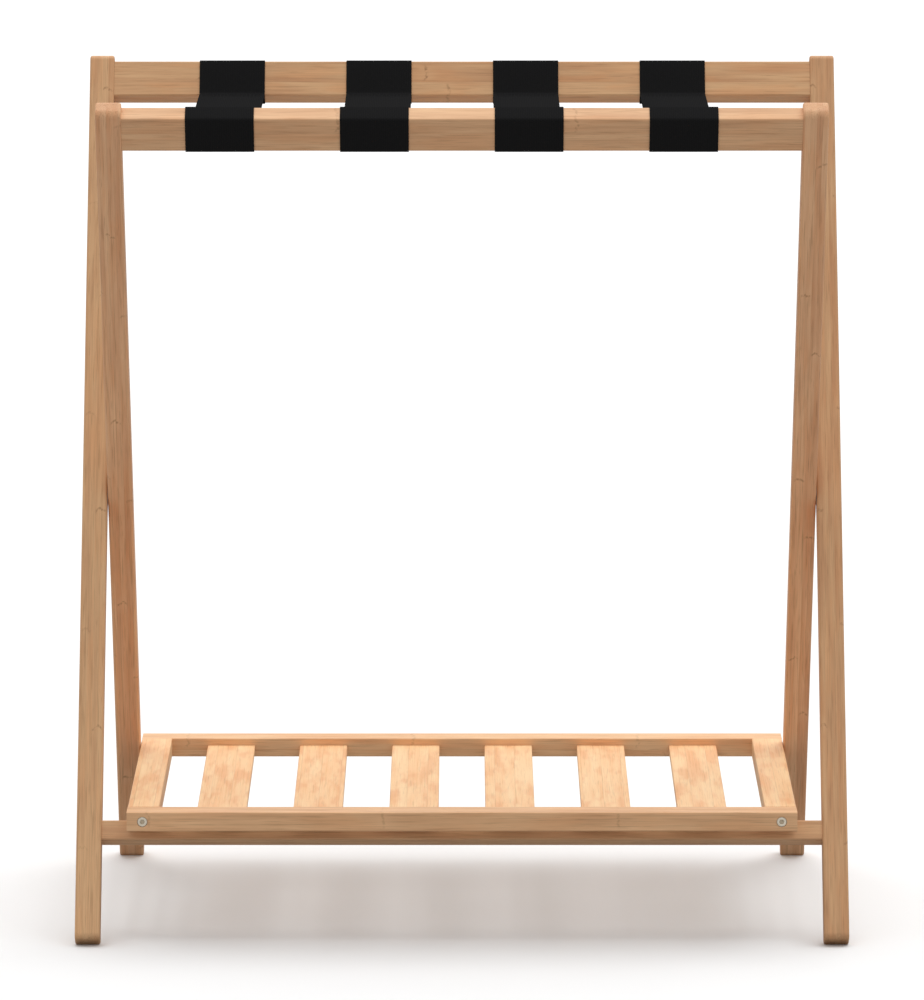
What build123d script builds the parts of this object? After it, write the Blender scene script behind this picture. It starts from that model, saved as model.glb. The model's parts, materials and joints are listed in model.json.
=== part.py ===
"""Folding luggage rack: two crossed bamboo frames, four webbing straps and a slatted shelf.

Millimetres, Z up. +X is the rack's right, -Y its front. The origin is on the floor under
the main pivot. The outer frame leans from its front feet up to the rear top rail, the inner
frame from its rear feet up to the front top rail. The shelf turns on the inner legs near
the back, and is notched to sit down over the outer frame's crossbar at the front.
"""
import os
from math import cos, radians, sin

from build123d import *

# ---- crossed frames ----
overall_width = 690.0      # over the outer legs
lean = 30.1                # each leg's lean from the vertical, in degrees
leg_above_pivot = 437.1
leg_below_pivot = 428.0
leg_thickness = 22.5       # along X
leg_width = 21.0           # across the leg, seen from the side
leg_end_radius = 6.0       # round-over of the leg's ends
leg_edge_radius = 2.0      # easing of its long edges
foot_flat_depth = 0.4      # planed off each foot, level with the floor
pivot_gap = 0.6            # between an outer leg and the inner leg beside it

# ---- top rails and crossbar ----
rail_height = 34.7         # along the leg
rail_depth = 18.4
rail_drop = 6.9            # from the leg's end to the rail's top edge
bar_height = 18.4          # along the leg
bar_depth = 16.7
rail_edge_radius = 1.5
dowel_diameter = 6.0
dowel_in_leg = 12.0
dowel_in_rail = 18.0
dowel_clearance = 0.05     # radial
blind_hole_space = 0.5     # past the end of a dowel, bolt or insert in its blind hole
cut_overrun = 1.0          # how far a cutting solid runs past the face it opens

# ---- shelf ----
shelf_pivot_drop = 305.0   # from the main pivot down the inner leg
shelf_stock_height = 17.3
shelf_stock_depth = 28.0
shelf_side_gap = 0.4       # between the shelf and each inner leg
shelf_rear_reach = 46.5    # from the shelf pivot to the back of the rear rail
shelf_hook_reach = 6.4     # from the crossbar's top corner forward to the front rail
shelf_edge_radius = 1.2
notch_clearance = 0.4      # round the crossbar, where it stands into the side rails
slat_clearance = 0.9       # from the crossbar up to the slats
slat_count = 6
slat_pitch = 86.2
slat_width = 44.3
slat_thickness = 6.0
slat_drop = 6.4            # the slats' top below the rails' top
slat_seat = 8.0            # a slat's end in its mortise
slat_edge_radius = 1.0
mortise_clearance = 0.1

# ---- pivot hardware ----
bolt_diameter = 6.0
bolt_clearance = 0.05      # radial, where a bolt is held fast
running_clearance = 0.06   # radial, where a leg turns on steel
flange_diameter = 13.0
flange_thickness = 2.2
flange_recess = 2.5
recess_clearance = 0.4     # radial
sleeve_diameter = 9.0
bolt_in_sleeve = 14.0
washer_diameter = 16.0
washer_side_play = 0.05
socket_width = 4.0         # across the flats
socket_depth = 1.6
insert_diameter = 8.0
insert_length = 12.0

# ---- shelf bolts, seen at the ends of the front rail ----
shelf_bolt_diameter = 5.0
shelf_bolt_head_diameter = 8.5
shelf_bolt_head_height = 3.0
shelf_bolt_recess = 3.2
shelf_bolt_socket_depth = 2.2
shelf_bolt_thread = 11.0   # into the insert
shelf_socket_width = 4.0

# ---- straps ----
strap_count = 4
strap_width = 60.5
strap_thickness = 1.0
strap_pitch = 136.0
strap_shift = -9.0         # the straps' middle from the rack's middle
strap_clearance = 0.05
strap_rise = 1.0           # the span above the rails' inner bottom corners

# ---- worked out from the sizes above ----
lean_sin = sin(radians(lean))
lean_cos = cos(radians(lean))
pivot_height = (
    (leg_below_pivot - leg_end_radius) * lean_cos
    + (leg_width / 2 - leg_end_radius) * lean_sin
    + leg_end_radius
    - foot_flat_depth
)
outer_outside = overall_width / 2
outer_inside = outer_outside - leg_thickness
inner_outside = outer_inside - pivot_gap
inner_inside = inner_outside - leg_thickness
rail_centre = leg_above_pivot - rail_drop - rail_height / 2

shelf_half_width = inner_inside - shelf_side_gap
shelf_pivot_y = shelf_pivot_drop * lean_sin
shelf_middle = pivot_height - shelf_pivot_drop * lean_cos
shelf_top = shelf_middle + shelf_stock_height / 2
bar_corner_z = shelf_top - slat_drop - slat_thickness - slat_clearance
bar_corner_rise = bar_height / 2 * lean_cos + bar_depth / 2 * lean_sin
bar_drop = (pivot_height - bar_corner_z + bar_corner_rise) / lean_cos
bar_corner_y = -(bar_drop - bar_height / 2) * lean_sin - bar_depth / 2 * lean_cos
front_rail_back = bar_corner_y - shelf_hook_reach
front_rail_face = front_rail_back - shelf_stock_depth
rear_rail_face = shelf_pivot_y + shelf_rear_reach
rear_rail_front = rear_rail_face - shelf_stock_depth
shelf_bolt_x = shelf_half_width - shelf_stock_depth / 2

OUTER = -1                 # the outer frame's legs lean back
INNER = 1                  # the inner frame's legs lean forward
SIDES = {"left": -1, "right": 1}


# ---- small helpers ----
def in_frame(solid, frame):
    """Lean a piece drawn upright about the pivot, and lift it to the pivot's height."""
    return Pos(0, 0, pivot_height) * Rot(X=frame * lean) * solid


def rod_x(radius, x_start, x_end, y=0.0, z=0.0):
    """A round bar along X."""
    place = Pos((x_start + x_end) / 2, y, z)
    return place * Rot(Y=90) * Cylinder(radius, abs(x_end - x_start))


def rod_y(radius, y_start, y_end, x=0.0, z=0.0):
    """A round bar along Y."""
    place = Pos(x, (y_start + y_end) / 2, z)
    return place * Rot(X=90) * Cylinder(radius, abs(y_end - y_start))


def rail_x(half_length, depth, height, radius, y=0.0, z=0.0):
    """A straight rail along X with eased long edges."""
    section = Plane.YZ * Pos(y, z) * RectangleRounded(depth, height, radius)
    return extrude(section, amount=half_length, both=True)


def hex_along(width, start, end, axis):
    """A hexagonal key socket from start to end along X or Y, as a cutting solid."""
    plane = Plane.YZ if axis == "x" else Plane.XZ
    hexagon = plane * RegularPolygon(width / 2, 6, major_radius=False)
    prism = extrude(hexagon, abs(end - start) / 2, both=True)
    middle = (start + end) / 2
    return Pos(middle, 0, 0) * prism if axis == "x" else Pos(0, middle, 0) * prism


def mirrored(piece):
    """The same piece on the rack's left."""
    return mirror(piece, about=Plane.YZ)


def both_sides(piece):
    """A right-hand piece and its left-hand twin, as two separate solids."""
    return [piece, mirrored(piece)]


# ---- legs ----
def plain_leg(inside, outside):
    """A right-hand leg, upright, with rounded ends and eased edges."""
    length = leg_above_pivot + leg_below_pivot
    middle = (leg_above_pivot - leg_below_pivot) / 2
    profile = Plane.YZ * Pos(0, middle) * RectangleRounded(leg_width, length, leg_end_radius)
    leg = Pos(inside, 0, 0) * extrude(profile, amount=outside - inside)
    faces = leg.faces().sort_by(Axis.X)
    return fillet(faces[0].edges() + faces[-1].edges(), leg_edge_radius)


def planed(leg):
    """Cut the foot level with the floor."""
    reach = 2 * (leg_above_pivot + leg_below_pivot)
    below_floor = Pos(0, 0, -reach / 2) * Box(reach, reach, reach)
    return leg - below_floor


def dowel_places(centre, height):
    """The two dowels of one rail end, by their height up the leg."""
    return [centre - height / 4, centre + height / 4]


def dowel_holes(face, places):
    """Holes for dowels, either side of the face where a right-hand leg meets its rail."""
    radius = dowel_diameter / 2 + dowel_clearance
    start = face - dowel_in_rail - blind_hole_space
    end = face + dowel_in_leg + blind_hole_space
    return [rod_x(radius, start, end, z=place) for place in places]


def outer_leg():
    """Right outer leg: dowelled to the rear top rail and the crossbar."""
    places = dowel_places(rail_centre, rail_height) + dowel_places(-bar_drop, bar_height)
    leg = plain_leg(outer_inside, outer_outside)
    leg -= dowel_holes(outer_inside, places)
    leg -= rod_x(bolt_diameter / 2 + bolt_clearance, outer_inside - cut_overrun, outer_outside)
    head_floor = outer_outside - flange_recess
    leg -= rod_x(flange_diameter / 2 + recess_clearance, head_floor, outer_outside + cut_overrun)
    return planed(in_frame(leg, OUTER))


def inner_leg():
    """Right inner leg: dowelled to the front top rail, and bored for both pivots."""
    leg = plain_leg(inner_inside, inner_outside)
    leg -= dowel_holes(inner_inside, dowel_places(rail_centre, rail_height))
    start = inner_inside - cut_overrun
    end = inner_outside + cut_overrun
    low = -shelf_pivot_drop
    leg -= rod_x(sleeve_diameter / 2 + running_clearance, start, end)
    leg -= rod_x(flange_diameter / 2 + recess_clearance, start, inner_inside + flange_recess)
    leg -= rod_x(bolt_diameter / 2 + running_clearance, start, inner_outside, z=low)
    leg -= rod_x(flange_diameter / 2 + recess_clearance, inner_outside - flange_recess, end, z=low)
    return planed(in_frame(leg, INNER))


# ---- rails and crossbar of the frames ----
def doweled_rail(half_length, depth, height, centre):
    """A rail between two legs, upright, with its blind dowel holes."""
    rail = rail_x(half_length, depth, height, rail_edge_radius, z=centre)
    for hole in dowel_holes(half_length, dowel_places(centre, height)):
        rail -= hole
        rail -= mirrored(hole)
    return rail


def frame_dowels(face, places, frame):
    """Every dowel of one frame, on both sides."""
    dowels = []
    for place in places:
        dowel = rod_x(dowel_diameter / 2, face - dowel_in_rail, face + dowel_in_leg, z=place)
        dowels += both_sides(in_frame(dowel, frame))
    return dowels


# ---- main pivot hardware, right-hand, upright about the pivot ----
def pivot_bolt():
    """Flat-headed bolt through the outer leg into the sleeve nut."""
    head_floor = outer_outside - flange_recess
    head_face = head_floor + flange_thickness
    bolt = rod_x(bolt_diameter / 2, inner_outside - bolt_in_sleeve, head_floor)
    bolt += rod_x(flange_diameter / 2, head_floor, head_face)
    bolt -= hex_along(socket_width, head_face - socket_depth, head_face + cut_overrun, "x")
    return in_frame(bolt, OUTER)


def sleeve_nut():
    """Flanged sleeve nut that the inner leg turns on."""
    flange_floor = inner_inside + flange_recess
    flange_face = flange_floor - flange_thickness
    nut = rod_x(sleeve_diameter / 2, flange_floor, inner_outside + washer_side_play)
    nut += rod_x(flange_diameter / 2, flange_face, flange_floor)
    bore_end = inner_outside - bolt_in_sleeve - blind_hole_space
    nut -= rod_x(bolt_diameter / 2 + bolt_clearance, bore_end, inner_outside + cut_overrun)
    nut -= hex_along(socket_width, flange_face - cut_overrun, flange_face + socket_depth, "x")
    return in_frame(nut, OUTER)


def pivot_washer():
    """Thin washer between the two legs."""
    start = inner_outside + washer_side_play
    washer = rod_x(washer_diameter / 2, start, outer_inside)
    bore = bolt_diameter / 2 + bolt_clearance
    washer -= rod_x(bore, start - cut_overrun, outer_inside + cut_overrun)
    return in_frame(washer, OUTER)


# ---- shelf ----
def slat_places():
    """The slats' middles along X."""
    return [(i - (slat_count - 1) / 2) * slat_pitch for i in range(slat_count)]


def slat_bar(x, start, end, extra=0.0):
    """A slat's section from start to end along Y, made larger all round by extra."""
    z = shelf_top - slat_drop - slat_thickness / 2
    section = RectangleRounded(slat_width + 2 * extra, slat_thickness + 2 * extra, slat_edge_radius + extra)
    plane = Plane(origin=(x, start, z), x_dir=(1, 0, 0), z_dir=(0, 1, 0))
    return extrude(plane * section, amount=end - start)


def shelf_slat(x):
    """One slat, from mortise to mortise."""
    return slat_bar(x, front_rail_back - slat_seat, rear_rail_front + slat_seat)


def shelf_bolt(face, inward):
    """Right-hand socket-head bolt whose head lies in a rail face and looks outward."""
    head_floor = face + inward * shelf_bolt_recess
    head_face = head_floor - inward * shelf_bolt_head_height
    end = face + inward * (shelf_stock_depth + shelf_bolt_thread)
    bolt = rod_y(shelf_bolt_diameter / 2, head_floor, end)
    bolt += rod_y(shelf_bolt_head_diameter / 2, head_floor, head_face)
    socket_floor = head_face + inward * shelf_bolt_socket_depth
    socket_mouth = head_face - inward * cut_overrun
    bolt -= hex_along(shelf_socket_width, socket_floor, socket_mouth, "y")
    return Pos(shelf_bolt_x, 0, shelf_middle) * bolt


def shelf_bolt_hole(face, inward):
    """The stepped hole of one shelf bolt through a rail, as a cutting solid."""
    start = face - inward * cut_overrun
    head_floor = face + inward * shelf_bolt_recess
    end = face + inward * (shelf_stock_depth + cut_overrun)
    shank = rod_y(shelf_bolt_diameter / 2 + bolt_clearance, start, end)
    head = rod_y(shelf_bolt_head_diameter / 2 + recess_clearance, start, head_floor)
    return Pos(shelf_bolt_x, 0, shelf_middle) * (shank + head)


def shelf_bolt_insert(end_face, inward):
    """Threaded insert let into the end of the right-hand side rail."""
    insert = rod_y(insert_diameter / 2, end_face, end_face + inward * insert_length)
    bore_start = end_face - inward * cut_overrun
    bore_end = end_face + inward * (insert_length + cut_overrun)
    insert -= rod_y(shelf_bolt_diameter / 2 + bolt_clearance, bore_start, bore_end)
    return Pos(shelf_bolt_x, 0, shelf_middle) * insert


def shelf_rail(face, inward):
    """Front or rear rail of the shelf, with its bolt holes and the slats' mortises."""
    middle = face + inward * shelf_stock_depth / 2
    rail = rail_x(
        shelf_half_width, shelf_stock_depth, shelf_stock_height, shelf_edge_radius, middle, shelf_middle
    )
    hole = shelf_bolt_hole(face, inward)
    rail -= hole
    rail -= mirrored(hole)
    mouth = face + inward * shelf_stock_depth
    floor = mouth - inward * (slat_seat + mortise_clearance)
    for x in slat_places():
        rail -= slat_bar(x, min(mouth, floor), max(mouth, floor), mortise_clearance)
    return rail


def crossbar_space():
    """The crossbar's section grown by the notch clearance, to cut the notches."""
    grown = 2 * notch_clearance
    radius = rail_edge_radius + notch_clearance
    bar = rail_x(outer_inside, bar_depth + grown, bar_height + grown, radius, z=-bar_drop)
    return in_frame(bar, OUTER)


def shelf_side_rail():
    """Right side rail: notched over the crossbar, bored for the pivot and the rail bolts."""
    length = rear_rail_front - front_rail_back
    middle_y = (rear_rail_front + front_rail_back) / 2
    section = RectangleRounded(shelf_stock_depth, shelf_stock_height, shelf_edge_radius)
    rail = Pos(shelf_bolt_x, middle_y, shelf_middle) * extrude(Plane.XZ * section, length / 2, both=True)
    rail -= crossbar_space()
    pocket_radius = insert_diameter / 2 + bolt_clearance
    for end_face, inward in ((front_rail_back, 1), (rear_rail_front, -1)):
        mouth = end_face - inward * cut_overrun
        floor = end_face + inward * (insert_length + blind_hole_space)
        rail -= Pos(shelf_bolt_x, 0, shelf_middle) * rod_y(pocket_radius, mouth, floor)
    floor = shelf_half_width - insert_length - blind_hole_space
    mouth = shelf_half_width + cut_overrun
    rail -= rod_x(pocket_radius, floor, mouth, shelf_pivot_y, shelf_middle)
    return rail


# ---- shelf pivot hardware, right-hand ----
def shelf_pivot_bolt():
    """Shouldered bolt through the inner leg into the side rail's insert."""
    head_floor = inner_outside - flange_recess
    head_face = head_floor + flange_thickness
    end = shelf_half_width - insert_length
    bolt = rod_x(bolt_diameter / 2, end, head_face)
    bolt += rod_x(flange_diameter / 2, head_floor + washer_side_play, head_face)
    bolt -= hex_along(socket_width, head_face - socket_depth, head_face + cut_overrun, "x")
    return Pos(0, shelf_pivot_y, shelf_middle) * bolt


def shelf_pivot_insert():
    """Threaded insert in the side rail, level with its side."""
    start = shelf_half_width - insert_length
    insert = rod_x(insert_diameter / 2, start, shelf_half_width)
    bore = bolt_diameter / 2 + bolt_clearance
    insert -= rod_x(bore, start - cut_overrun, shelf_half_width + cut_overrun)
    return Pos(0, shelf_pivot_y, shelf_middle) * insert


def shelf_pivot_washer():
    """Washer between the side rail and the inner leg."""
    end = inner_inside - washer_side_play
    washer = rod_x(washer_diameter / 2, shelf_half_width, end)
    bore = bolt_diameter / 2 + bolt_clearance
    washer -= rod_x(bore, shelf_half_width - cut_overrun, end + cut_overrun)
    return Pos(0, shelf_pivot_y, shelf_middle) * washer


# ---- straps ----
def strap_outline(extra):
    """A top rail's section grown by extra, over one strap's width, upright."""
    section = Plane.YZ * Pos(0, rail_centre) * RectangleRounded(
        rail_depth + 2 * extra, rail_height + 2 * extra, rail_edge_radius + extra
    )
    return extrude(section, amount=strap_width / 2, both=True)


def strap_wrap(x, frame):
    """The turn of webbing round one top rail."""
    ring = strap_outline(strap_clearance + strap_thickness) - strap_outline(strap_clearance)
    return Pos(x, 0, 0) * in_frame(ring, frame)


def strap_span(x):
    """The flat length of webbing between the two wrapped rails."""
    corner = rail_centre - rail_height / 2
    corner_y = corner * lean_sin - rail_depth / 2 * lean_cos
    corner_z = pivot_height + corner * lean_cos + rail_depth / 2 * lean_sin
    span = Pos(0, 0, corner_z + strap_rise) * Box(strap_width, 2 * corner_y + rail_depth, strap_thickness)
    for frame in (OUTER, INNER):
        span -= in_frame(strap_outline(2 * strap_clearance + strap_thickness), frame)
    return Pos(x, 0, 0) * span


# ---- the whole rack ----
def build_nodes():
    """Every node's name and its solid, or its list of separate solids."""
    nodes = {}
    for side, leg in (("outer", outer_leg()), ("inner", inner_leg())):
        nodes["right_" + side + "_leg"] = leg
        nodes["left_" + side + "_leg"] = mirrored(leg)

    rear_rail = doweled_rail(outer_inside, rail_depth, rail_height, rail_centre)
    front_rail = doweled_rail(inner_inside, rail_depth, rail_height, rail_centre)
    crossbar = doweled_rail(outer_inside, bar_depth, bar_height, -bar_drop)
    nodes["rear_top_rail"] = in_frame(rear_rail, OUTER)
    nodes["front_top_rail"] = in_frame(front_rail, INNER)
    nodes["lower_crossbar"] = in_frame(crossbar, OUTER)
    rail_dowels = dowel_places(rail_centre, rail_height)
    bar_dowels = dowel_places(-bar_drop, bar_height)
    nodes["rear_rail_dowels"] = frame_dowels(outer_inside, rail_dowels, OUTER)
    nodes["crossbar_dowels"] = frame_dowels(outer_inside, bar_dowels, OUTER)
    nodes["front_rail_dowels"] = frame_dowels(inner_inside, rail_dowels, INNER)

    nodes["pivot_bolts"] = both_sides(pivot_bolt())
    nodes["pivot_sleeve_nuts"] = both_sides(sleeve_nut())
    nodes["pivot_washers"] = both_sides(pivot_washer())

    nodes["shelf_front_rail"] = shelf_rail(front_rail_face, 1)
    nodes["shelf_rear_rail"] = shelf_rail(rear_rail_face, -1)
    nodes["shelf_right_side_rail"] = shelf_side_rail()
    nodes["shelf_left_side_rail"] = mirrored(shelf_side_rail())
    for number, x in enumerate(slat_places(), 1):
        nodes[f"shelf_slat_{number}"] = shelf_slat(x)
    nodes["shelf_front_bolts"] = both_sides(shelf_bolt(front_rail_face, 1))
    nodes["shelf_rear_bolts"] = both_sides(shelf_bolt(rear_rail_face, -1))
    nodes["shelf_front_inserts"] = both_sides(shelf_bolt_insert(front_rail_back, 1))
    nodes["shelf_rear_inserts"] = both_sides(shelf_bolt_insert(rear_rail_front, -1))
    nodes["shelf_pivot_bolts"] = both_sides(shelf_pivot_bolt())
    nodes["shelf_pivot_inserts"] = both_sides(shelf_pivot_insert())
    nodes["shelf_pivot_washers"] = both_sides(shelf_pivot_washer())

    for number in range(strap_count):
        x = strap_shift + (number - (strap_count - 1) / 2) * strap_pitch
        nodes[f"strap_{number + 1}_rear_wrap"] = strap_wrap(x, OUTER)
        nodes[f"strap_{number + 1}_front_wrap"] = strap_wrap(x, INNER)
        nodes[f"strap_{number + 1}_span"] = strap_span(x)
    return nodes


def write_nodes(nodes):
    """Write one STEP file for each node."""
    os.makedirs("parts", exist_ok=True)
    for name, solids in nodes.items():
        shape = Compound(children=solids) if isinstance(solids, list) else solids
        export_step(shape, f"parts/{name}.step")


print(f"pivot height {pivot_height:.2f}, crossbar {bar_drop:.2f} below it along the leg")
print(f"shelf top {shelf_top:.2f}, from y {front_rail_face:.2f} to {rear_rail_face:.2f}")
write_nodes(build_nodes())
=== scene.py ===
# %% [markdown]
# # Folding luggage rack
# The rack is two crossed bamboo frames, four webbing straps and a slatted shelf. The CAD model
# is the fixed frame of this scene: its bamboo pieces already have the right shape and stay, and
# get a finish here. The straps and the bolts are modelled again, because cloth and metal edges
# need more than a CAD solid gives them.

# %% Load the CAD model
import json
from math import cos, pi, radians, sin, tan

import bmesh
import bpy
from mathutils import Matrix, Vector
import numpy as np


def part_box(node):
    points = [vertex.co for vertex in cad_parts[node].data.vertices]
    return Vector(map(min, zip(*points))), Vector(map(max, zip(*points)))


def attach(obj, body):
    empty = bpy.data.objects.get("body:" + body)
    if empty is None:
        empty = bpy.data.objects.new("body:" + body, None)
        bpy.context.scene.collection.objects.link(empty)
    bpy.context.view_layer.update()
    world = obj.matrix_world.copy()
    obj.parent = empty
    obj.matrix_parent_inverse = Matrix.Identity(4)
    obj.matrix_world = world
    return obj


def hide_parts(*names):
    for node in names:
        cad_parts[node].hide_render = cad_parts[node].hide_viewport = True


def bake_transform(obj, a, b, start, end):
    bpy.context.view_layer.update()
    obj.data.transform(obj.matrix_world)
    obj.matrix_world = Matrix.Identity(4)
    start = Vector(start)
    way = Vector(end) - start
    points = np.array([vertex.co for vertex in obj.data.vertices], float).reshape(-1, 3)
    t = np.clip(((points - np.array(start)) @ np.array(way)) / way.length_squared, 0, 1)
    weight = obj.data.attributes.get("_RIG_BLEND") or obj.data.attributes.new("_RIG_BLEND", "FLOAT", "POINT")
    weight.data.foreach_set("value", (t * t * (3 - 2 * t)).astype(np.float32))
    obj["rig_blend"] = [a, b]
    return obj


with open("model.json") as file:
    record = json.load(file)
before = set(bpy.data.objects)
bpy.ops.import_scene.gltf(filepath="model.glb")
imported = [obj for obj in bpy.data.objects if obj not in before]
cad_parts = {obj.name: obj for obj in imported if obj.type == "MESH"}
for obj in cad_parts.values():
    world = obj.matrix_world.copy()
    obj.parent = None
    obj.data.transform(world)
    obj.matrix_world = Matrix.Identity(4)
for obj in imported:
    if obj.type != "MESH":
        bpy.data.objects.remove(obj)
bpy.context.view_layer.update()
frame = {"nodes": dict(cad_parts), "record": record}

nodes = frame["nodes"]
bpy.ops.object.select_all(action="DESELECT")

# %% [markdown]
# ## Camera
# A long lens from far off keeps the rack's uprights nearly parallel, as a catalogue shows
# furniture. It looks a little down, so the tops of the straps and of the shelf can be seen.

# %% Camera
CAMERA_PLACE = Vector((0.0, -7.530, 1.5085))
CAMERA_TILT = radians(8.604)     # below level
LENS = 301.2

camera_data = bpy.data.cameras.new("camera")
camera_data.lens = LENS
camera_data.sensor_width = 36.0
camera = bpy.data.objects.new("camera", camera_data)
camera.location = CAMERA_PLACE
camera.rotation_euler = (pi / 2 - CAMERA_TILT, 0, 0)
bpy.context.scene.collection.objects.link(camera)
bpy.context.scene.camera = camera
print("camera", round(CAMERA_PLACE.length, 2), "m away, lens", LENS)

# %% [markdown]
# ## Helpers
# Some jobs come up with nearly every piece: to select it alone, to apply a modifier to it, to
# give it one material. Named once, they keep the cells below short.

# %% Piece helpers
WELD = 0.00001          # points nearer than this become one


def select_only(piece):
    """Make one piece the only selected one, and the active one."""
    bpy.ops.object.select_all(action="DESELECT")
    piece.select_set(True)
    bpy.context.view_layer.objects.active = piece


def work(piece, kind, **settings):
    """Add a modifier to the active piece, and apply it."""
    modifier = piece.modifiers.new(kind.lower(), kind)
    for name, value in settings.items():
        setattr(modifier, name, value)
    bpy.ops.object.modifier_apply(modifier=modifier.name)


def cover(piece, material):
    """Give a piece one material."""
    piece.data.materials.clear()
    piece.data.materials.append(material)


print("piece helpers ready")

# %% [markdown]
# A shader tree is a list of small sums. Naming the sums keeps the finishes below readable: each
# helper adds one node, plugs in what it is given, and hands back the socket that comes out.

# %% Node helpers
def plug(tree, socket, value):
    """Link a socket, or set a plain value."""
    if isinstance(value, bpy.types.NodeSocket):
        tree.links.new(value, socket)
    else:
        socket.default_value = value


def add_node(tree, kind, inputs=(), **settings):
    """One node, with its settings, and its inputs given as (name or number, value)."""
    node = tree.nodes.new(kind)
    for name, value in settings.items():
        setattr(node, name, value)
    for name, value in inputs:
        plug(tree, node.inputs[name], value)
    return node


def maths(tree, operation, *values):
    """One sum, as a Math node."""
    return add_node(tree, "ShaderNodeMath", enumerate(values), operation=operation).outputs[0]


def step(tree, value, low, high):
    """0 at low, 1 at high, and smooth between them."""
    inputs = ((0, value), (1, low), (2, high))
    ramp = add_node(tree, "ShaderNodeMapRange", inputs, interpolation_type="SMOOTHSTEP")
    return ramp.outputs[0]


def blend_colour(tree, share, first, second):
    """A colour that goes from first to second."""
    inputs = ((0, share), (6, first), (7, second))
    return add_node(tree, "ShaderNodeMix", inputs, data_type="RGBA").outputs[2]


def vector_of(tree, x, y, z):
    """Three numbers as one vector."""
    return add_node(tree, "ShaderNodeCombineXYZ", enumerate((x, y, z))).outputs[0]


def noise(tree, place, detail):
    """Smooth noise about 0.5 in size."""
    inputs = (("Vector", place), ("Scale", 1.0), ("Detail", detail))
    return add_node(tree, "ShaderNodeTexNoise", inputs).outputs[0]


def new_material(name):
    """A material, its tree and its Principled shader."""
    material = bpy.data.materials.new(name)
    material.use_nodes = True
    return material, material.node_tree, material.node_tree.nodes["Principled BSDF"]


def relief(tree, shader, height, strength, distance):
    """Fine relief in the light, from a height."""
    inputs = (("Strength", strength), ("Distance", distance), ("Height", height))
    plug(tree, shader.inputs["Normal"], add_node(tree, "ShaderNodeBump", inputs).outputs[0])


def new_group(name, inputs, outputs):
    """A shader group. Inputs are (name, type, value) and outputs are (name, type)."""
    group = bpy.data.node_groups.new(name, "ShaderNodeTree")
    sockets = [("INPUT", *given) for given in inputs]
    sockets += [("OUTPUT", *made, None) for made in outputs]
    for side, label, kind, value in sockets:
        kind = "NodeSocket" + kind
        socket = group.interface.new_socket(label, in_out=side, socket_type=kind)
        if value is not None:
            socket.default_value = value
    given = group.nodes.new("NodeGroupInput").outputs
    return group, given, group.nodes.new("NodeGroupOutput").inputs


print("node helpers ready")

# %% [markdown]
# ## Studio
# A broad soft light comes from above and a little behind, so the tops are bright and the fronts
# are calmer. A lamp near the rack would leave the far floor dark. A sun with a wide angle is as
# soft and lights the whole floor alike. The floor is pale to look at, and throws less light back
# than it shows, as if the rack stood on a low stand.

# %% Floor, sun and fill
FLOOR_SIZE = 120.0
FLOOR_SEEN = (0.90, 0.90, 0.90, 1)
FLOOR_THROWN = (0.37, 0.37, 0.37, 1)
SUN_POWER = 1.96
SUN_WIDTH = radians(70)
SUN_FROM = Vector((0.12, 0.34, 0.94))
FILL = 0.67

bpy.ops.mesh.primitive_plane_add(size=FLOOR_SIZE)
floor = bpy.context.object
floor.name = "floor"
floor_finish, tree, _ = new_material("floor")
tree.nodes.clear()
thrown = add_node(tree, "ShaderNodeBsdfDiffuse", (("Color", FLOOR_THROWN),)).outputs[0]
seen = add_node(tree, "ShaderNodeBsdfDiffuse", (("Color", FLOOR_SEEN),)).outputs[0]
looked_at = add_node(tree, "ShaderNodeLightPath").outputs["Is Camera Ray"]
matt = add_node(tree, "ShaderNodeMixShader", ((0, looked_at), (1, thrown), (2, seen))).outputs[0]
add_node(tree, "ShaderNodeOutputMaterial", (("Surface", matt),))
floor.data.materials.append(floor_finish)

sun_data = bpy.data.lights.new("soft_sun", "SUN")
sun_data.energy = SUN_POWER
sun_data.angle = SUN_WIDTH
sun = bpy.data.objects.new("soft_sun", sun_data)
sun.rotation_euler = SUN_FROM.to_track_quat("Z", "Y").to_euler()
bpy.context.scene.collection.objects.link(sun)

world = bpy.data.worlds.new("fill")
world.use_nodes = True
sky = world.node_tree.nodes["Background"].inputs
sky["Color"].default_value = (1, 1, 1, 1)
sky["Strength"].default_value = FILL
bpy.context.scene.world = world
bpy.context.scene.view_settings.view_transform = "Standard"
print("studio: sun", SUN_POWER, "fill", FILL)

# %% [markdown]
# ## Laminated bamboo
# Bamboo stock is glued up from strips of cane. Every strip has its own shade, fine dark fibres
# run along it, and a faint knuckle crosses it where the living cane had a joint. An image of
# wood would repeat and would need unwrapping. Noise stretched along the grain doesn't, and one
# group can serve every piece, with the strips wide on the rails and slats and narrow on the
# legs. On a sawn end the fibres are seen end on, as dots.

# %% Bamboo group: where a point lies in its strip
STRIP_SLIDE = 9.0       # metres by which one strip's pattern may be slid

BAMBOO, given, made = new_group(
    "laminated_bamboo",
    (
        ("Vector", "Vector", None), ("End", "Float", 0.0),
        ("Strip", "Float", 0.005), ("Cane", "Float", 0.011),
        ("Knuckle", "Float", 0.5), ("Fibres", "Float", 1.0),
        ("Contrast", "Float", 0.5), ("Blush", "Float", 0.2),
        ("Light", "Color", None), ("Dark", "Color", None),
    ),
    (("Color", "Color"), ("Roughness", "Float"), ("Height", "Float")),
)


def times(first, second):
    """A product in the bamboo group."""
    return maths(BAMBOO, "MULTIPLY", first, second)


def off_middle(value):
    """How far above its middle a value from 0 to 1 is."""
    return maths(BAMBOO, "SUBTRACT", value, 0.5)


def throw_dice(number):
    """Three random values that go with a whole number."""
    dice = add_node(BAMBOO, "ShaderNodeTexWhiteNoise", (("W", number),), noise_dimensions="1D")
    return add_node(BAMBOO, "ShaderNodeSeparateColor", ((0, dice.outputs["Color"]),)).outputs


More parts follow.
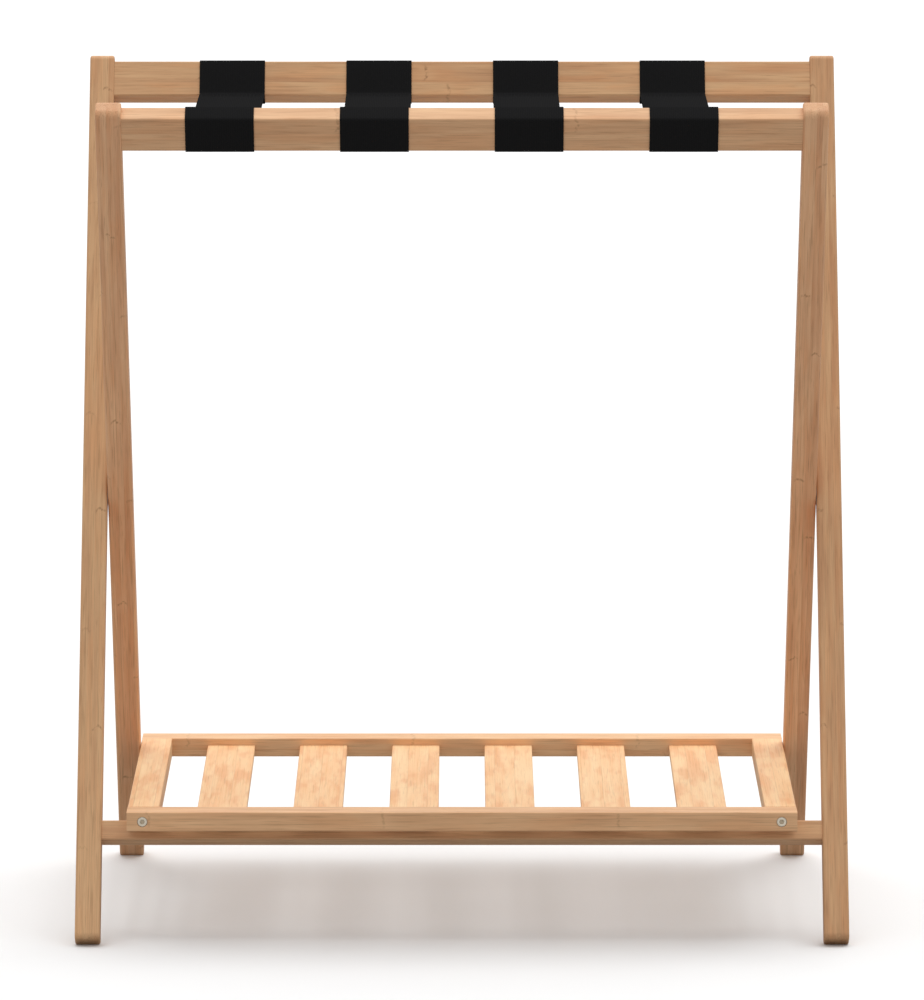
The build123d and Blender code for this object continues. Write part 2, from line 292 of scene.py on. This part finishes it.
along, across, deep = add_node(BAMBOO, "ShaderNodeSeparateXYZ", ((0, given["Vector"]),)).outputs
strip = maths(BAMBOO, "DIVIDE", across, given["Strip"])
from_strip = maths(BAMBOO, "ABSOLUTE", off_middle(maths(BAMBOO, "FRACT", strip)))
shade, slide, _ = throw_dice(maths(BAMBOO, "FLOOR", strip))
moved = maths(BAMBOO, "MULTIPLY_ADD", slide, STRIP_SLIDE, along)
print("bamboo strips laid out")

# %% [markdown]
# Each kind of mark in the wood is its own noise. Coarse along the grain and fine across it, the
# noise draws long thin fibres; nearly the same both ways, it draws flecks. A mark shows only
# where its noise is high, so two levels say where it begins and where it is full.

# %% Bamboo group: fibres, soft clouds and streaks
CLOUDS = (9.0, 120.0, 2.0)
MARKS = {
    # fineness per metre along the grain and across it, detail, level where it begins and is full
    "fibre": (12.0, 1150.0, 3.0, 0.46, 0.70),
    "streak": (26.0, 620.0, 1.0, 0.55, 0.74),
    "patch": (15.0, 72.0, 2.0, 0.44, 0.66),
    "dash": (48.0, 1350.0, 1.0, 0.64, 0.72),
    "fleck": (330.0, 420.0, 2.0, 0.34, 0.60),
    "end_dot": (0.0, 1500.0, 1.0, 0.50, 0.62),
}


def grain_noise(fine_along, fine_across, detail):
    """Noise that follows the grain."""
    place = vector_of(
        BAMBOO, times(moved, fine_along), times(across, fine_across), times(deep, fine_across)
    )
    return noise(BAMBOO, place, detail)


clouds = off_middle(grain_noise(*CLOUDS))
noises = {name: grain_noise(*mark[:3]) for name, mark in MARKS.items()}
masks = {name: step(BAMBOO, noises[name], *mark[3:]) for name, mark in MARKS.items()}
print("bamboo marks:", ", ".join(masks))

# %% [markdown]
# A knuckle is a thin dark line across one cane, a little bowed, with a paler blotch round it.
# Canes were cut without care for their joints, so each has its knuckles at its own places, and
# some have hardly any.

# %% Bamboo group: knuckles and glue lines
CANE_JOINT = 0.21       # from one knuckle of the cane to the next
CANE_SLIDE = 7.3        # joints by which one cane may be slid
WANDER = 0.050          # how far clouds push a knuckle, in joints
BOW = 0.050             # how far a knuckle bows, in joints
CANE_EDGE = (0.50, 0.26)            # off a cane's middle, where knuckles begin and are full
CANE_PLAIN = (0.00, 0.45)           # dice that leave a cane without knuckles, or with full ones
KNUCKLE_LINE = (0.0019, 0.0004)     # metres from a knuckle, where its line begins and is full
KNUCKLE_BLOTCH = (0.0130, 0.002)
GLUE_LINE = (0.465, 0.498)          # off a strip's middle, where the glue begins and is full

cane = maths(BAMBOO, "DIVIDE", across, given["Cane"])
off_cane = off_middle(maths(BAMBOO, "FRACT", cane))
_, cane_slide, cane_luck = throw_dice(maths(BAMBOO, "FLOOR", cane))
joints_along = maths(BAMBOO, "DIVIDE", along, CANE_JOINT)
joints_along = maths(BAMBOO, "MULTIPLY_ADD", cane_slide, CANE_SLIDE, joints_along)
strays = maths(BAMBOO, "ADD", times(clouds, WANDER), times(times(off_cane, off_cane), BOW))
off_knuckle = maths(BAMBOO, "ADD", off_middle(maths(BAMBOO, "FRACT", joints_along)), strays)
off_knuckle = times(maths(BAMBOO, "ABSOLUTE", off_knuckle), CANE_JOINT)
in_cane = step(BAMBOO, maths(BAMBOO, "ABSOLUTE", off_cane), *CANE_EDGE)
shown = times(times(in_cane, step(BAMBOO, cane_luck, *CANE_PLAIN)), given["Knuckle"])
knuckle = times(times(step(BAMBOO, off_knuckle, *KNUCKLE_LINE), masks["fleck"]), shown)
blotch = times(step(BAMBOO, off_knuckle, *KNUCKLE_BLOTCH), shown)
glue = step(BAMBOO, from_strip, *GLUE_LINE)
print("knuckles", CANE_JOINT, "m apart")

# %% Bamboo group: put together
FIBRE = (0.27, 0.125, 0.055, 1)
BLUSH = (0.82, 0.345, 0.135, 1)     # the redder bands of cooked cane
CLOUDINESS = 2.2
MIDDLE_TONE = 0.45      # from the light colour to the dark one
PALER = 0.30            # the blotch round a knuckle
DARKER = {"fibre": 0.17, "streak": 0.25, "dash": 0.22}
GLUE_DARK = 0.12
KNUCKLE_DARK = 0.60
END_DARK = 0.10
DOT_DARK = 0.30
ROUGH = 0.42            # between the fibres
FIBRE_ROUGH = 0.12      # added on the fibres
FIBRE_HIGH = 0.5
GLUE_LOW = -0.6

cloudy = maths(BAMBOO, "MULTIPLY_ADD", clouds, CLOUDINESS, MIDDLE_TONE)
tone = maths(BAMBOO, "MULTIPLY_ADD", off_middle(shade), given["Contrast"], cloudy)
colour = blend_colour(BAMBOO, tone, given["Light"], given["Dark"])
colour = blend_colour(BAMBOO, times(masks["patch"], given["Blush"]), colour, BLUSH)
colour = blend_colour(BAMBOO, times(blotch, PALER), colour, given["Light"])
for name, strength in DARKER.items():
    share = times(times(masks[name], strength), given["Fibres"])
    colour = blend_colour(BAMBOO, share, colour, FIBRE)
for mask, strength in ((glue, GLUE_DARK), (knuckle, KNUCKLE_DARK)):
    colour = blend_colour(BAMBOO, times(mask, strength), colour, FIBRE)
sawn = maths(BAMBOO, "MULTIPLY_ADD", masks["end_dot"], DOT_DARK, END_DARK)
colour = blend_colour(BAMBOO, times(given["End"], sawn), colour, FIBRE)
rough = maths(BAMBOO, "MULTIPLY_ADD", masks["fibre"], FIBRE_ROUGH, ROUGH)
height = maths(BAMBOO, "MULTIPLY_ADD", glue, GLUE_LOW, times(noises["fibre"], FIBRE_HIGH))
for name, value in (("Color", colour), ("Roughness", rough), ("Height", height)):
    plug(BAMBOO, made[name], value)
print("bamboo group has", len(BAMBOO.nodes), "nodes")

# %% [markdown]
# A plank's pattern has to run with that plank. A Mapping node turns the object's coordinates
# until X is the way of the grain, and slides them by a different amount for every piece, so that
# no two are alike. The dot product of the surface's normal with the grain finds the sawn ends.

# %% Bamboo for one piece
LOOK = ("Strip", "Cane", "Knuckle", "Fibres", "Contrast", "Blush", "Light", "Dark")
PIECE_SLIDE = (0.173, 0.0313, 0.0117)   # metres between the patterns of two pieces
SAWN = (0.75, 0.97)     # how squarely a face meets the grain, to begin and to be an end


def bamboo(name, grain, beside, seed, *look):
    """Bamboo whose grain runs one way and whose strips lie side by side the other way."""
    material, tree, shader = new_material(name)
    shader.inputs["Specular IOR Level"].default_value = 0.16
    coordinates = add_node(tree, "ShaderNodeTexCoord").outputs
    turned = add_node(tree, "ShaderNodeMapping", (("Vector", coordinates["Object"]),))
    ways = Matrix((grain, beside, grain.cross(beside)))
    turned.inputs["Rotation"].default_value = ways.to_euler()
    turned.inputs["Location"].default_value = [slide * seed for slide in PIECE_SLIDE]
    faces = ((0, coordinates["Normal"]), (1, grain))
    facing = add_node(tree, "ShaderNodeVectorMath", faces, operation="DOT_PRODUCT")
    end = step(tree, maths(tree, "ABSOLUTE", facing.outputs["Value"]), *SAWN)
    values = {"Vector": turned.outputs[0], "End": end, **dict(zip(LOOK, look))}
    wood = add_node(tree, "ShaderNodeGroup", node_tree=BAMBOO)
    for label, value in values.items():
        plug(tree, wood.inputs[label], value)
    plug(tree, shader.inputs["Base Color"], wood.outputs["Color"])
    plug(tree, shader.inputs["Roughness"], wood.outputs["Roughness"])
    relief(tree, shader, wood.outputs["Height"], 0.3, 0.0002)
    return material


print("a bamboo has", len(LOOK), "values of its own")

# %% Colours and looks of the bamboo
HONEY = ((0.94, 0.585, 0.325, 1), (0.74, 0.420, 0.220, 1))
TAWNY = ((0.85, 0.530, 0.300, 1), (0.67, 0.380, 0.206, 1))
OLIVE = ((0.76, 0.468, 0.250, 1), (0.59, 0.318, 0.165, 1))
ROSY = ((0.89, 0.545, 0.312, 1), (0.72, 0.383, 0.208, 1))
AMBER = ((1.00, 0.680, 0.380, 1), (0.96, 0.550, 0.268, 1))
WARM = ((0.97, 0.630, 0.355, 1), (0.86, 0.480, 0.250, 1))
SANDY = ((0.82, 0.515, 0.282, 1), (0.64, 0.350, 0.188, 1))
NARROW = 0.0052         # strips on edge, as in the legs
WIDE = 0.0185           # strips laid flat, as in the rails and slats
CANE = 0.0112           # width of cane that one knuckle crosses on a leg

LEG = (NARROW, CANE, 0.85, 1.15, 0.70, 0.16, *OLIVE)
INNER_LEG = (NARROW, CANE, 0.85, 1.10, 0.70, 0.22, *ROSY)
RAIL = (WIDE, WIDE, 0.90, 1.00, 0.35, 0.16, *TAWNY)
BACK_RAIL = (WIDE, WIDE, 1.00, 1.00, 0.35, 0.22, *OLIVE)
CROSSBAR = (WIDE, WIDE, 0.60, 1.00, 0.35, 0.06, *SANDY)
SHELF_RAIL = (WIDE, WIDE, 0.40, 0.90, 0.35, 0.16, *HONEY)
SHELF_BACK = (WIDE, WIDE, 0.40, 0.90, 0.35, 0.20, *WARM)
SLAT = (WIDE, WIDE, 0.12, 0.55, 0.46, 0.46, *AMBER)
print("strips", NARROW, "m wide on the legs and", WIDE, "m elsewhere")

# %% Bamboo on every wooden piece
LEAN = radians(30.1)
OUTER_UP = Vector((0, sin(LEAN), cos(LEAN)))
INNER_UP = Vector((0, -sin(LEAN), cos(LEAN)))
ACROSS = Vector((1, 0, 0))
FORE_AFT = Vector((0, 1, 0))
UPRIGHT = Vector((0, 0, 1))

planks = [
    ("left_outer_leg", OUTER_UP, ACROSS, LEG), ("right_outer_leg", OUTER_UP, ACROSS, LEG),
    ("left_inner_leg", INNER_UP, ACROSS, INNER_LEG),
    ("right_inner_leg", INNER_UP, ACROSS, INNER_LEG),
    ("rear_top_rail", ACROSS, OUTER_UP, BACK_RAIL), ("front_top_rail", ACROSS, INNER_UP, RAIL),
    ("lower_crossbar", ACROSS, OUTER_UP, CROSSBAR),
    ("shelf_front_rail", ACROSS, UPRIGHT, SHELF_RAIL),
    ("shelf_rear_rail", ACROSS, UPRIGHT, SHELF_BACK),
    ("shelf_left_side_rail", FORE_AFT, ACROSS, SLAT),
    ("shelf_right_side_rail", FORE_AFT, ACROSS, SLAT),
]
planks += [(f"shelf_slat_{number}", FORE_AFT, ACROSS, SLAT) for number in range(1, 7)]
for seed, (name, grain, beside, look) in enumerate(planks, 1):
    cover(nodes[name], bamboo("bamboo_" + name, grain, beside, seed, *look))
print("bamboo on", len(planks), "pieces")

# %% [markdown]
# ## Hidden fittings
# The dowels, threaded inserts and washers sit inside the bamboo and show only at an edge or in
# a cutaway. They keep their CAD shape and get a plain grained, zinc or nylon finish.

# %% Zinc, nylon and dowel finishes
MOTTLE = (0.3, 0.7)     # noise levels where the second colour begins and is full


def mottled(name, light, dark, scale, rough, metallic=0.0):
    """A finish whose colour and roughness vary softly."""
    material, tree, shader = new_material(name)
    shader.inputs["Metallic"].default_value = metallic
    coordinates = add_node(tree, "ShaderNodeTexCoord").outputs
    place = add_node(tree, "ShaderNodeMapping", (("Vector", coordinates["Object"]),))
    place.inputs["Scale"].default_value = (scale, scale, scale)
    cloud = noise(tree, place.outputs[0], 3.0)
    tint = blend_colour(tree, step(tree, cloud, *MOTTLE), light, dark)
    plug(tree, shader.inputs["Base Color"], tint)
    plug(tree, shader.inputs["Roughness"], maths(tree, "MULTIPLY_ADD", cloud, 0.2, rough - 0.1))
    relief(tree, shader, cloud, 0.15, 0.0001)
    return material


zinc = mottled(
    "zinc_steel", (0.97, 0.88, 0.72, 1), (0.88, 0.79, 0.63, 1), 900.0, 0.40, metallic=0.25
)
# a darker zinc, painted shade for the recess of a key socket
socket_zinc_painted_shade = mottled(
    "socket_zinc_painted_shade", (0.80, 0.69, 0.53, 1), (0.63, 0.54, 0.41, 1), 900.0, 0.50, metallic=0.2
)
nylon = mottled("nylon", (0.70, 0.69, 0.66, 1), (0.60, 0.59, 0.56, 1), 400.0, 0.5)
dowel_wood = mottled("dowel_wood", (0.72, 0.52, 0.33, 1), (0.58, 0.39, 0.23, 1), 500.0, 0.65)
fittings = {
    dowel_wood: ("rear_rail_dowels", "crossbar_dowels", "front_rail_dowels"),
    nylon: ("pivot_washers", "shelf_pivot_washers"),
    zinc: ("shelf_front_inserts", "shelf_rear_inserts", "shelf_pivot_inserts"),
}
for material, names in fittings.items():
    for name in names:
        cover(nodes[name], material)
print("hidden fittings:", sum(len(names) for names in fittings.values()))

# %% [markdown]
# ## Bolts and sleeve nuts
# A real bolt head is never quite sharp: the eased rim and socket catch a thin bright line, and
# that line is what says metal. The CAD solid has the right sizes but knife edges. So each is
# copied, its loose triangles are merged and its flat faces joined, and a bevel rounds every
# hard edge. The key socket gets a darker zinc: painted shade for the recess, where less light falls.

# %% Key sockets
SOCKET_REACH = 0.00240    # from the bolt's axis to the socket's corners
FACE_DEPTH = 0.00035      # nearer the head's face than this is its rim
SOCKET_DEPTH = 0.0024


def paint_socket_shade(piece, axis):
    """Painted shade: a darker zinc on the key sockets, faces near a bolt's axis and a little below either
    end.
    """
    points = [v.co for v in piece.data.vertices]
    # the darker zinc is painted shade in the sockets
    piece.data.materials.append(socket_zinc_painted_shade)
    for side in (-1, 1):
        near = [p for p in points if p.x * side > 0]
        low = [min(p[i] for p in near) for i in range(3)]
        high = [max(p[i] for p in near) for i in range(3)]
        middle = [(low[i] + high[i]) / 2 for i in range(3)]
        for face in piece.data.polygons:
            place = face.center
            off_axis = sum((place[i] - middle[i]) ** 2 for i in range(3) if i != axis) ** 0.5
            if place.x * side < 0 or off_axis >= SOCKET_REACH:
                continue
            for end in (low[axis], high[axis]):
                if FACE_DEPTH < abs(place[axis] - end) < SOCKET_DEPTH:
                    face.material_index = 1


print("key sockets are cut no deeper than", SOCKET_DEPTH, "m")

# %% Bolts and sleeve nuts
HEAD_EASE = 0.00022
HARD_EDGE = radians(50)


def eased_copy(node, body, axis):
    """A CAD node's copy with its hard edges rounded."""
    piece = nodes[node].copy()
    piece.data = nodes[node].data.copy()
    piece.name = node + "_eased"
    for key in list(piece.keys()):
        del piece[key]
    bpy.context.scene.collection.objects.link(piece)
    select_only(piece)
    bpy.ops.object.mode_set(mode="EDIT")
    bpy.ops.mesh.select_all(action="SELECT")
    bpy.ops.mesh.remove_doubles(threshold=WELD)
    bpy.ops.mesh.dissolve_limited(angle_limit=radians(2))
    bpy.ops.object.mode_set(mode="OBJECT")
    work(piece, "BEVEL", width=HEAD_EASE, segments=2, limit_method="ANGLE", angle_limit=HARD_EDGE)
    bpy.ops.object.shade_smooth_by_angle(angle=radians(35))
    cover(piece, zinc)
    # painted shade in the key sockets
    paint_socket_shade(piece, axis)
    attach(piece, body)
    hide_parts(node)
    return piece


ALONG_X, ALONG_Y = 0, 1
metal = [
    ("pivot_bolts", "outer_frame", ALONG_X), ("pivot_sleeve_nuts", "outer_frame", ALONG_X),
    ("shelf_front_bolts", "shelf", ALONG_Y), ("shelf_rear_bolts", "shelf", ALONG_Y),
    ("shelf_pivot_bolts", "shelf", ALONG_X),
]
for node, body, axis in metal:
    piece = eased_copy(node, body, axis)
    print(piece.name, len(piece.data.polygons), "faces")

# %% [markdown]
# ## Webbing finish
# Luggage webbing is woven from thick yarns, so it has fine ribs along it, crossed by the weft,
# and a matte surface with a faint sheen. The weave follows the strap round the rails, so it
# reads the strap's own UV map, measured in metres along and across the cloth.

# %% Weave group
RIB = 0.0016            # from one rib to the next
WEFT = 0.0022           # one crossing of the weft
RIB_HIGH = 0.55
WEFT_HIGH = 0.45
LINT = (2600.0, 240.0, 1.0)     # fineness per metre across the cloth and along it

WEAVE, given, made = new_group(
    "ribbed_weave",
    (("UV", "Vector", None), ("Rib", "Float", RIB), ("Weft", "Float", WEFT)),
    (("Height", "Float"), ("Lint", "Float")),
)


def waves(count):
    """A row of rounded ridges, one for each whole number."""
    turns = maths(WEAVE, "MULTIPLY", count, pi)
    return maths(WEAVE, "ABSOLUTE", maths(WEAVE, "SINE", turns))


over_cloth, along_cloth, _ = add_node(
    WEAVE, "ShaderNodeSeparateXYZ", ((0, given["UV"]),)
).outputs
column = maths(WEAVE, "DIVIDE", over_cloth, given["Rib"])
odd = maths(WEAVE, "MODULO", maths(WEAVE, "FLOOR", column), 2.0)
stagger = maths(WEAVE, "MULTIPLY", odd, 0.5)
row = maths(WEAVE, "ADD", maths(WEAVE, "DIVIDE", along_cloth, given["Weft"]), stagger)
ribs = maths(WEAVE, "MULTIPLY", waves(column), RIB_HIGH)
plug(WEAVE, made["Height"], maths(WEAVE, "MULTIPLY_ADD", waves(row), WEFT_HIGH, ribs))
lint_place = add_node(
    WEAVE, "ShaderNodeVectorMath", ((0, given["UV"]), (1, LINT)), operation="MULTIPLY"
)
plug(WEAVE, made["Lint"], noise(WEAVE, lint_place.outputs[0], 3.0))
print("webbing ribs", RIB * 1000, "mm apart")

# %% Webbing material
BLACK = (0.0098, 0.0098, 0.0101, 1)
WORN_BLACK = (0.0225, 0.0225, 0.0230, 1)

webbing, tree, shader = new_material("webbing")
weave = add_node(tree, "ShaderNodeGroup", node_tree=WEAVE)
cloth_map = add_node(tree, "ShaderNodeUVMap", uv_map="cloth").outputs[0]
for name, value in (("UV", cloth_map), ("Rib", RIB), ("Weft", WEFT)):
    plug(tree, weave.inputs[name], value)
height, lint = weave.outputs["Height"], weave.outputs["Lint"]
tint = blend_colour(tree, maths(tree, "MULTIPLY", height, lint), BLACK, WORN_BLACK)
plug(tree, shader.inputs["Base Color"], tint)
plug(tree, shader.inputs["Roughness"], maths(tree, "MULTIPLY_ADD", lint, 0.15, 0.72))
shader.inputs["Specular IOR Level"].default_value = 0.0
shader.inputs["Sheen Weight"].default_value = 0.003
shader.inputs["Sheen Roughness"].default_value = 0.6
relief(tree, shader, height, 0.5, 0.0003)
print("webbing finish has", len(tree.nodes), "nodes")

# %% [markdown]
# ## Straps
# Each strap is one length of webbing. It starts under the span, goes once round the rear rail,
# crosses to the front rail, goes round that, and ends under the span again, where it is sewn
# to itself. Bending a finished strip with a curve would squash the cloth at the rails' corners.
# So the strip is drawn the way it is laid: a plane is the first sewn end, and its leading edge
# is extruded along each straight run and spun round each corner. Solidify then gives the
# cloth its thickness and a bevel its soft woven edges.

# %% Where the cloth meets the rails
CLOTH = 0.00095         # thickness of the webbing
OFF_RAIL = 0.00055      # from a rail's face to the middle of the cloth
UNDER_SPAN = 0.00005    # air between the span and the lap sewn to it
RAIL_DEPTH = 0.0184
RAIL_HEIGHT = 0.0347
RAIL_CORNER = 0.0015
LAP = 0.027             # sewn end under the span
TAKE_OFF = 0.0040       # radius where the span leaves the rail

rail_low, rail_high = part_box("rear_top_rail")
rail_y, rail_z = (rail_low.y + rail_high.y) / 2, (rail_low.z + rail_high.z) / 2
half_depth = RAIL_DEPTH / 2 + OFF_RAIL
half_height = RAIL_HEIGHT / 2 + OFF_RAIL
corner = RAIL_CORNER + OFF_RAIL
span_low, span_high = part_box("strap_1_span")
span_z = (span_low.z + span_high.z) / 2
lap_z = span_z - CLOTH - UNDER_SPAN

low_turn = corner * tan(LEAN / 2)
low_start = (rail_z - half_height * cos(LEAN) - lap_z) / sin(LEAN)
low_y = rail_y - half_height * sin(LEAN) + low_start * cos(LEAN)
take_turn = TAKE_OFF * tan((pi / 2 - LEAN) / 2)
take_start = (span_z - rail_z - half_depth * sin(LEAN)) / cos(LEAN)
take_y = rail_y - half_depth * cos(LEAN) + take_start * sin(LEAN)
lap_y = low_y - low_turn - LAP      # the rear lap's cut end
print("strap leaves the rear rail at y", round(take_y, 4), "lap at z", round(lap_z, 4))

# %% Strap path
LAP_STEPS = 4
SPAN_STEPS = 60
FACE_STEPS = 3
CORNER_STEPS = 5

# a run is (length, steps) and a turn is (angle, radius)
rear_half = [
    ("turn", -LEAN, corner),
    ("run", half_depth - corner - low_start - low_turn, FACE_STEPS),
    ("turn", pi / 2, corner),
    ("run", 2 * (half_height - corner), FACE_STEPS),
    ("turn", pi / 2, corner),
    ("run", 2 * (half_depth - corner), FACE_STEPS),
    ("turn", pi / 2, corner),
    ("run", half_height - corner - take_start - take_turn, FACE_STEPS),
    ("turn", LEAN - pi / 2, TAKE_OFF),
]
strap_path = rear_half + [("run", 2 * (take_y - take_turn), SPAN_STEPS)] + rear_half[::-1]
strap_path += [("run", LAP, LAP_STEPS)]
print("strap path has", len(strap_path), "runs and turns")


# %% Lay one strap
def lay_strap(name, x, width):
    """A strip of cloth, drawn from its first sewn end to its last."""
    first = LAP / LAP_STEPS
    bpy.ops.object.select_all(action="DESELECT")
    bpy.ops.mesh.primitive_plane_add(size=1, location=(x, lap_y + first / 2, lap_z))
    strap = bpy.context.object
    strap.name = name
    strap.scale = (width, first, 1)
    bpy.ops.object.transform_apply(location=True, rotation=True, scale=True)
    bpy.ops.object.mode_set(mode="EDIT")
    mesh = bmesh.from_edit_mesh(strap.data)
    bpy.ops.mesh.select_all(action="DESELECT")
    bpy.ops.mesh.select_mode(type="EDGE")
    for edge in mesh.edges:
        edge.select_set(all(v.co.y > lap_y + first / 2 for v in edge.verts))
    bmesh.update_edit_mesh(strap.data)

    heading = 0.0
    y, z = lap_y + first, lap_z
    for kind, amount, detail in [("run", LAP - first, LAP_STEPS - 1)] + strap_path:
        if kind == "run":
            move = (0, amount / detail * cos(heading), amount / detail * sin(heading))
            for _ in range(detail):
                bpy.ops.mesh.extrude_edges_move(TRANSFORM_OT_translate={"value": move})
            y, z = y + amount * cos(heading), z + amount * sin(heading)
        else:
            radius = detail if amount > 0 else -detail
            centre = (x, y - radius * sin(heading), z + radius * cos(heading))
            # spin turns against the right-hand rule, so its angle is reversed
            bpy.ops.mesh.spin(steps=CORNER_STEPS, angle=-amount, center=centre, axis=(1, 0, 0))
            heading += amount
            y, z = centre[1] + radius * sin(heading), centre[2] - radius * cos(heading)
    bpy.ops.mesh.select_all(action="SELECT")
    bpy.ops.mesh.remove_doubles(threshold=WELD)
    bpy.ops.mesh.normals_make_consistent(inside=False)
    bpy.ops.object.mode_set(mode="OBJECT")
    return strap


print("a strap is laid from y", round(lap_y, 4))


# %% Unroll one strap
def unroll(strap, x, width):
    """A UV map in metres: across the cloth, and along it from its first end."""
    mesh = strap.data
    beside = {v.index: [] for v in mesh.vertices}
    for edge in mesh.edges:
        a, b = edge.vertices
        if abs(mesh.vertices[a].co.x - mesh.vertices[b].co.x) < width / 2:
            beside[a].append(b)
            beside[b].append(a)
    ends = [i for i, near in beside.items() if len(near) == 1]
    distance = {}
    for end in (i for i in ends if mesh.vertices[i].co.y > 0):
        here, before, gone = end, None, 0.0
        while here is not None:
            distance[here] = gone
            ahead = next((i for i in beside[here] if i != before), None)
            if ahead is not None:
                gone += (mesh.vertices[ahead].co - mesh.vertices[here].co).length
            here, before = ahead, here
    layer = mesh.uv_layers.new(name="cloth")
    for loop in mesh.loops:
        place = mesh.vertices[loop.vertex_index].co
        layer.data[loop.index].uv = (place.x - x + width / 2, distance[loop.vertex_index])
    return max(distance.values())


print("cloth map in metres, for ribs", RIB, "m apart")

# %% Straps
SELVEDGE = CLOTH * 0.32     # how far the woven edges are rounded
CLOTH_EDGE = radians(60)


def thicken(strap):
    """Cloth thickness and soft woven edges."""
    select_only(strap)
    work(strap, "SOLIDIFY", thickness=CLOTH, offset=0, use_even_offset=True)
    work(strap, "BEVEL", width=SELVEDGE, segments=2, limit_method="ANGLE", angle_limit=CLOTH_EDGE)
    bpy.ops.object.shade_smooth_by_angle(angle=radians(40))


straps = []
for number in range(1, 5):
    low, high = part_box(f"strap_{number}_span")
    x, width = (low.x + high.x) / 2, high.x - low.x
    strap = lay_strap(f"strap_{number}", x, width)
    length = unroll(strap, x, width)
    thicken(strap)
    cover(strap, webbing)
    straps.append((strap, x, width, length))
    print(strap.name, "cut to", round(width, 4), "by", round(length, 4), "m")

# %% [markdown]
# ## Stitching
# The laps are held by rows of lockstitch, which show on both faces as short threads, partly
# sunk in the cloth. One thread is shaped from a thin cylinder whose ends dive into the cloth,
# and array modifiers repeat it along the row, over the rows, through to the underside, and at
# the other rail.

# %% Sew the laps
THREAD = 0.0005
THREAD_SUNK = 0.35      # share of the thread's thickness that lies in the cloth
STITCH = 0.0020         # the straight part of one stitch
STITCH_DIVE = 0.0003
STITCH_TIP = 0.45       # the dived end's thickness, as a share of the thread's
STITCH_PITCH = 0.0034
STITCHES = 16
ROWS = 3
ROW_PITCH = 0.0075
FIRST_ROW = 0.0045      # from the lap's cut end

# The thread's black is a little lighter than the cloth's: painted light that offsets the shade round the
# sunk thread.
thread_black = mottled(
    "thread_black", (0.024, 0.024, 0.025, 1), (0.016, 0.016, 0.017, 1), 1500.0, 0.8
)
thread_shader = thread_black.node_tree.nodes["Principled BSDF"]
thread_shader.inputs["Specular IOR Level"].default_value = 0.0


def array_of(piece, count, offset):
    """Repeat a piece at an even spacing."""
    work(
        piece, "ARRAY", count=count, use_relative_offset=False, use_constant_offset=True,
        constant_offset_displace=offset,
    )


def sew(name, x):
    """The stitching of both laps of one strap."""
    row_y = lap_y + FIRST_ROW
    upper_z = span_z + CLOTH / 2 + THREAD * (0.5 - THREAD_SUNK)
    lower_z = lap_z - CLOTH / 2 - THREAD * (0.5 - THREAD_SUNK)
    first_x = x - STITCH_PITCH * (STITCHES - 1) / 2
    bpy.ops.object.select_all(action="DESELECT")
    bpy.ops.mesh.primitive_cylinder_add(
        vertices=6, radius=THREAD / 2, depth=STITCH, location=(first_x, row_y, upper_z),
        rotation=(0, pi / 2, 0),
    )
    thread = bpy.context.object
    thread.name = name
    bpy.ops.object.transform_apply(location=True, rotation=True, scale=True)
    bpy.ops.object.mode_set(mode="EDIT")
    bpy.ops.mesh.select_mode(type="FACE")
    bpy.ops.mesh.select_all(action="DESELECT")
    mesh = bmesh.from_edit_mesh(thread.data)
    for face in mesh.faces:
        face.select_set(abs(face.normal.x) > 0.9)
    bmesh.update_edit_mesh(thread.data)
    bpy.ops.mesh.extrude_region_shrink_fatten(TRANSFORM_OT_shrink_fatten={"value": STITCH_DIVE})
    bpy.ops.transform.resize(value=(1, STITCH_TIP, STITCH_TIP))
    # the new faces come in no fixed order, so all are put in order of place
    bpy.ops.mesh.select_all(action="SELECT")
    bpy.ops.mesh.sort_elements(type="CURSOR_DISTANCE", elements={"VERT", "EDGE", "FACE"})
    bpy.ops.object.mode_set(mode="OBJECT")
    array_of(thread, STITCHES, (STITCH_PITCH, 0, 0))
    array_of(thread, ROWS, (0, ROW_PITCH, 0))
    array_of(thread, 2, (0, 0, lower_z - upper_z))
    array_of(thread, 2, (0, -2 * row_y - (ROWS - 1) * ROW_PITCH, 0))
    bpy.ops.object.shade_smooth_by_angle(angle=radians(60))
    cover(thread, thread_black)
    return thread


stitching = [sew(f"{strap.name}_stitching", x) for strap, x, _, _ in straps]
print("stitches in one strap:", STITCHES * ROWS * 4)

# %% [markdown]
# ## Joining
# The frames draw together as the rack closes, and the strap is held by both. A blend lets each
# end stay with its own rail while the cloth between turns with the fold. The blend's soft start
# and end suit a cover that lies over a hinge, but a strap's two halves would cross as its rails
# meet. So the turn is then shared out evenly along the span. The two faces of the cloth take
# slightly different shares, so that it keeps its thickness where it hangs as a loop.

# %% Join the straps to both frames
BLEND_HALF = take_y - take_turn
RAMP = 0.02             # share of the span over which the faces part
MIDDLE = 8.0            # how sharply the loop turns at its bottom
fold = next(joint for joint in frame["record"]["behaviour"]["joints"] if joint["name"] == "fold")
FOLD_TURN = radians(fold["range_deg"][1])
PIVOT_Z = fold["pos_m"][2]


def share_evenly(piece):
    """Share the fold evenly along the span, with the cloth's two faces kept apart."""
    shares = piece.data.attributes["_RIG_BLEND"].data
    for vertex, share in zip(piece.data.vertices, shares):
        gone = (BLEND_HALF - vertex.co.y) / (2 * BLEND_HALF)
        if 0 < gone < 1:
            reach = (vertex.co.y ** 2 + (vertex.co.z - PIVOT_Z) ** 2) ** 0.5
            side = max(-1, min(1, (0.5 - gone) * MIDDLE))
            apart = side * min(1, gone / RAMP, (1 - gone) / RAMP) * (vertex.co.z - span_z)
            share.value = max(0, min(1, gone - apart / (reach * FOLD_TURN)))


for (strap, x, width, length), thread in zip(straps, stitching):
    rear, front = (x, BLEND_HALF, span_z), (x, -BLEND_HALF, span_z)
    for piece in (strap, thread):
        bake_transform(piece, "outer_frame", "inner_frame", start=rear, end=front)
        share_evenly(piece)
    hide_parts(*(f"{strap.name}_{part}" for part in ("rear_wrap", "span", "front_wrap")))
print("straps joined to both frames")
